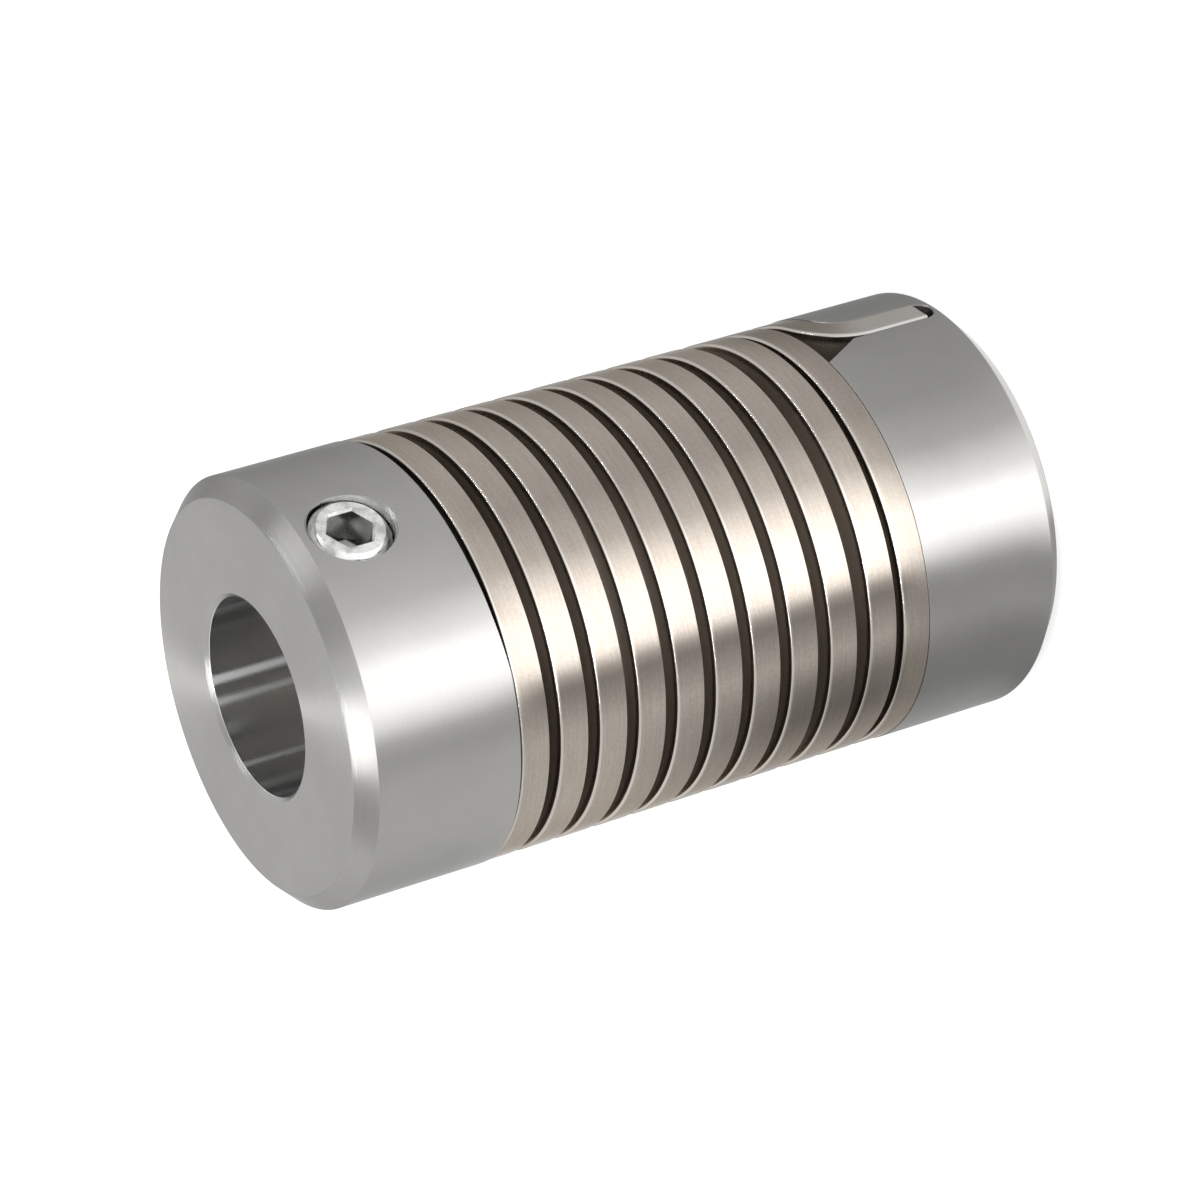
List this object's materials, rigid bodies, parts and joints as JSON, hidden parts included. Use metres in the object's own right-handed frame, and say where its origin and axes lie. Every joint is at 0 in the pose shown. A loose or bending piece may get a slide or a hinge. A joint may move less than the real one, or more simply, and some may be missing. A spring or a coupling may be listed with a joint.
{
  "type": "spring coupling",
  "caption": "Flexible shaft coupling: turned hubs with plain bores and set screws, joined by a coil of flat wire whose bent ends sit in grooves in the hubs.",
  "frame": {"origin": "centre of the lower hub's end face, on the shaft axis", "axes": "+Z along the shaft axis towards the upper hub, -Y through the middle of the coil's wire at half height"},
  "size_m": [0.026, 0.026, 0.048],
  "materials": {
    "hub": "satin, turned",
    "spring": "nickel plated, fine grain",
    "screw": "bright plated"
  },
  "bodies": {
    "lower_end": {"lower_hub": "hub", "lower_set_screw": "screw", "coil_spring": "spring"},
    "upper_end": {"upper_hub": "hub", "upper_set_screw": "screw"}
  },
  "joints": [
    {"name": "axial_flex", "type": "slide", "parent": "lower_end", "child": "upper_end", "axis": [0, 0, 1], "range_m": [-0.001, 0.001], "stiffness_N_per_m": 2000, "deforming": ["coil_spring"]}
  ]
}
